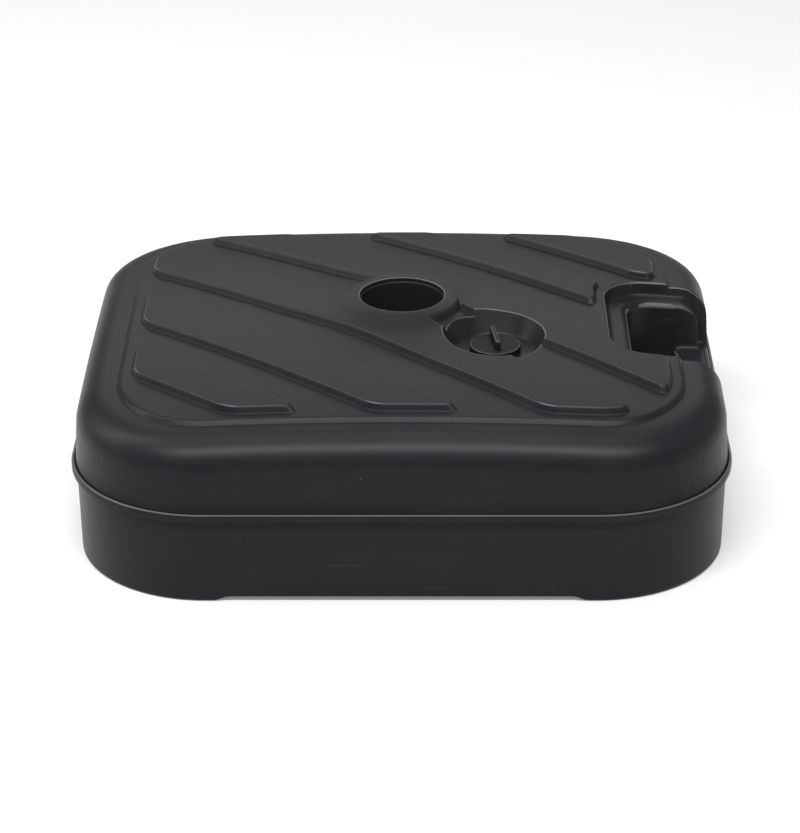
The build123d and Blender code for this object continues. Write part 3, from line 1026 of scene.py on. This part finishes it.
def socket_profile():
    bore_r, seat_z = SOCKET_R - SOCKET_WALL, SOCKET_FOOT + SOCKET_WALL
    lip = SOCKET_WALL / 2
    points = [(0.0, SOCKET_FOOT)]
    points += arc_profile(SOCKET_R - SOCKET_CORNER, SOCKET_FOOT + SOCKET_CORNER,
                          SOCKET_CORNER, -90, 0)
    points += arc_profile(SOCKET_R - lip, SOCKET_TOP - lip, lip, 0, 180, 13)
    points += [(bore_r, z) for z in np.linspace(SOCKET_TOP - 8, seat_z + 12, 5)]
    points += arc_profile(bore_r - SOCKET_INNER_CORNER, seat_z + SOCKET_INNER_CORNER,
                          SOCKET_INNER_CORNER, 0, -90)
    return points + [(0.0, seat_z)]


radii, heights = zip(*socket_profile())
make_piece("pole_socket_skin", turned(radii, heights, BORE_POINTS), socket_black,
           "base", "pole_socket")

# %% [markdown]
# ## The filler cap
# From above the cap is a disc with a finger blade across it, which is again a height function,
# with steep blade walls and a small radius at their foot. Below it is a turned body with the
# skirt, the hollow plug and its thread.

# %% Filler cap
CAP_EDGE, CAP_SKIRT_WALL, CAP_SKIRT_Z, CAP_PLATE_Z = 0.8, 1.4, 125.4, 127.0
FIN_HALF_LENGTH, FIN_HALF_WIDTH, FIN_TURN = 14.6, 1.7, math.radians(97.0)
FIN_PROFILE = {"lip": 1.2, "foot": 0.9, "run": 0.4}
PLUG_R, PLUG_BORE_R, PLUG_THREAD_Z, PLUG_CHAMFER = 12.4, 10.0, 113.5, 0.6
CAP_HALF = (CAP_R + 1.0, CAP_R + 1.0)


def fin(x, y):
    """How far inside the finger blade's outline a point lies, in the cap's own plan."""
    along = x * math.cos(FIN_TURN) + y * math.sin(FIN_TURN)
    across = y * math.cos(FIN_TURN) - x * math.sin(FIN_TURN)
    return -rounded_rectangle(along, across, FIN_HALF_LENGTH, FIN_HALF_WIDTH, FIN_HALF_WIDTH - 0.2)


def cap_outside(x, y):
    disc = CAP_TOP_Z - quarter(CAP_R - from_pole(x, y), CAP_EDGE)
    return step_down(fin(x, y), CAP_TOP_Z + FIN_H, disc, **FIN_PROFILE)


def cap_rows():
    rows = [ring(CAP_R - inset, NECK_POINTS) for inset in (0, 0.11, 0.4, CAP_EDGE)]
    rows += [contour(fin, level, CAP_HALF, 0.6) for level in step_rows(**FIN_PROFILE)]
    return rows


def plug_patches():
    """The turned part, from the middle of the plate's underside out to the cap's edge."""
    turn = np.arange(NECK_POINTS) * 2 * math.pi / NECK_POINTS
    start = [(0.0, CAP_PLATE_Z), (PLUG_BORE_R, CAP_PLATE_Z), (PLUG_BORE_R, PLUG_END_Z),
             (PLUG_R - PLUG_CHAMFER, PLUG_END_Z), (PLUG_R, PLUG_END_Z + PLUG_CHAMFER)]
    threaded = np.arange(PLUG_END_Z + 0.8, CAP_PLATE_Z - 0.1, THREAD_STEP)
    skirt_r = CAP_R - CAP_SKIRT_WALL
    end = [(PLUG_R, CAP_PLATE_Z), (skirt_r, CAP_PLATE_Z), (skirt_r, CAP_SKIRT_Z),
           (CAP_R, CAP_SKIRT_Z), (CAP_R, CAP_TOP_Z - CAP_EDGE)]
    ridges = [thread_ridge(z, turn, PLUG_THREAD_Z, THREAD_LENGTH - 1) for z in threaded]
    radii = [r for r, _ in start] + [PLUG_R + THREAD_DEPTH * ridge for ridge in ridges]
    radii += [r for r, _ in end]
    heights = [z for _, z in start] + list(threaded) + [z for _, z in end]
    return turned(radii, heights, NECK_POINTS, (CAP_X, CAP_Y))


cap_plan = triangulate(cap_rows(), CAP_HALF, 2.0, lambda x, y: CAP_R - from_pole(x, y), 0.05)
cap_top, cap_faces = height_patch(*cap_plan, cap_outside)
cap_patches = [(cap_top + [CAP_X, CAP_Y, 0], cap_faces)] + plug_patches()
filler_cap = make_piece("filler_cap_skin", cap_patches, cap_black, "cap", "filler_cap")
# painted edge highlight on the cap's convex edges
painted_highlight(filler_cap, cap_outside, CAP_TOP_Z - 2, (CAP_X, CAP_Y))

# %% [markdown]
# ## The seal
# A flat rubber ring lies between the cap's plate and the floor of the dish. Its corners are
# rounded, so it is a small closed profile carried once round the neck.

# %% Cap seal
def seal_profile():
    corner = 0.45
    bottom, top = seal_low.z / MM + corner, seal_high.z / MM - corner
    inner, outer = SEAL_INNER_R + corner, SEAL_OUTER_R - corner
    points = []
    for r, z, start in ((outer, bottom, -90), (outer, top, 0),
                        (inner, top, 90), (inner, bottom, 180)):
        points += arc_profile(r, z, corner, start, start + 90, 5)
    return points + points[:1]


radii, heights = zip(*seal_profile())
make_piece("cap_seal_skin", turned(radii, heights, NECK_POINTS, (CAP_X, CAP_Y)), seal_rubber,
           "seal", "cap_seal")

# %% [markdown]
# ## Floor, light and camera
# A pale floor and soft lights: a broad one from behind draws the crown, a strip in front and
# above draws the shoulder, a strip on the left draws the diagonal lips of the bands, and one at
# each side draws the corners. The front stays the darkest side.

# %% Floor
def pale_floor():
    bpy.ops.mesh.primitive_plane_add(size=14.0, location=(0, 2.0, 0))
    floor = bpy.context.object
    floor.name = "studio_floor"
    finish = Finish("floor_paint")
    shader = finish.node("ShaderNodeBsdfPrincipled", None,
                         {"Base Color": (0.57, 0.57, 0.57, 1), "Roughness": 0.9,
                          "Specular IOR Level": 0.2,
                          "Emission Color": (1.0, 1.0, 1.0, 1), "Emission Strength": 0.2})[0]
    finish.node("ShaderNodeOutputMaterial", None, {"Surface": shader})
    floor.data.materials.append(finish.material)


pale_floor()


# %% Lights
def soft_box(name, place, target, size, power):
    lamp = bpy.data.lights.new(name, "AREA")
    lamp.shape, lamp.size, lamp.size_y, lamp.energy = "RECTANGLE", size[0], size[1], power
    holder = bpy.data.objects.new(name, lamp)
    holder.location = place
    aim = Vector(target) - Vector(place)
    holder.rotation_euler = aim.to_track_quat("-Z", "Y").to_euler()
    bpy.context.scene.collection.objects.link(holder)


soft_box("rear_light", (0.0, 2.4, 1.5), (0, 0, 0.1), (2.6, 1.0), 10)
soft_box("left_light", (-2.0, 0.3, 0.9), (0, 0, 0.08), (1.4, 1.2), 6)
soft_box("right_light", (2.0, 0.3, 0.9), (0, 0, 0.08), (1.4, 1.2), 1.5)
soft_box("front_light", (0.0, -1.05, 1.75), (0, -0.1, 0.1), (2.4, 0.26), 56)
soft_box("left_strip", (-1.45, 0.1, 1.5), (0, 0, 0.1), (0.3, 1.6), 16)
soft_box("top_light", (0.0, 0.3, 2.6), (0, 0, 0.1), (2.0, 2.0), 26)

world = bpy.data.worlds.new("studio_air")
bpy.context.scene.world = world
world.use_nodes = True
world.node_tree.nodes["Background"].inputs[0].default_value = (1.0, 1.0, 1.0, 1.0)
world.node_tree.nodes["Background"].inputs[1].default_value = 0.3

# %% Camera
CAMERA_PLACE = (0.0189, -2.0251, 1.0282)
CAMERA_PITCH, CAMERA_YAW, CAMERA_ROLL = -25.83, -0.59, -0.29
SENSOR_WIDTH, LENS_LENGTH = 36.0, 135.6


def main_camera():
    """A long lens, looking down at the base from the front."""
    lens = bpy.data.cameras.new("camera")
    lens.sensor_fit, lens.sensor_width, lens.lens = "HORIZONTAL", SENSOR_WIDTH, LENS_LENGTH
    camera = bpy.data.objects.new("camera", lens)
    pitch, yaw, roll = (math.radians(a) for a in (CAMERA_PITCH, CAMERA_YAW, CAMERA_ROLL))
    turn = (Matrix.Rotation(-yaw, 4, "Z") @ Matrix.Rotation(math.pi / 2 + pitch, 4, "X")
            @ Matrix.Rotation(roll, 4, "Z"))
    camera.matrix_world = Matrix.Translation(CAMERA_PLACE) @ turn
    bpy.context.scene.collection.objects.link(camera)
    bpy.context.scene.camera = camera
    axes = [[round(v, 5) for v in column[:3]] for column in camera.matrix_world.col[:3]]
    print("camera right, up, back:", axes)


main_camera()
bpy.context.scene.view_settings.view_transform = "Standard"
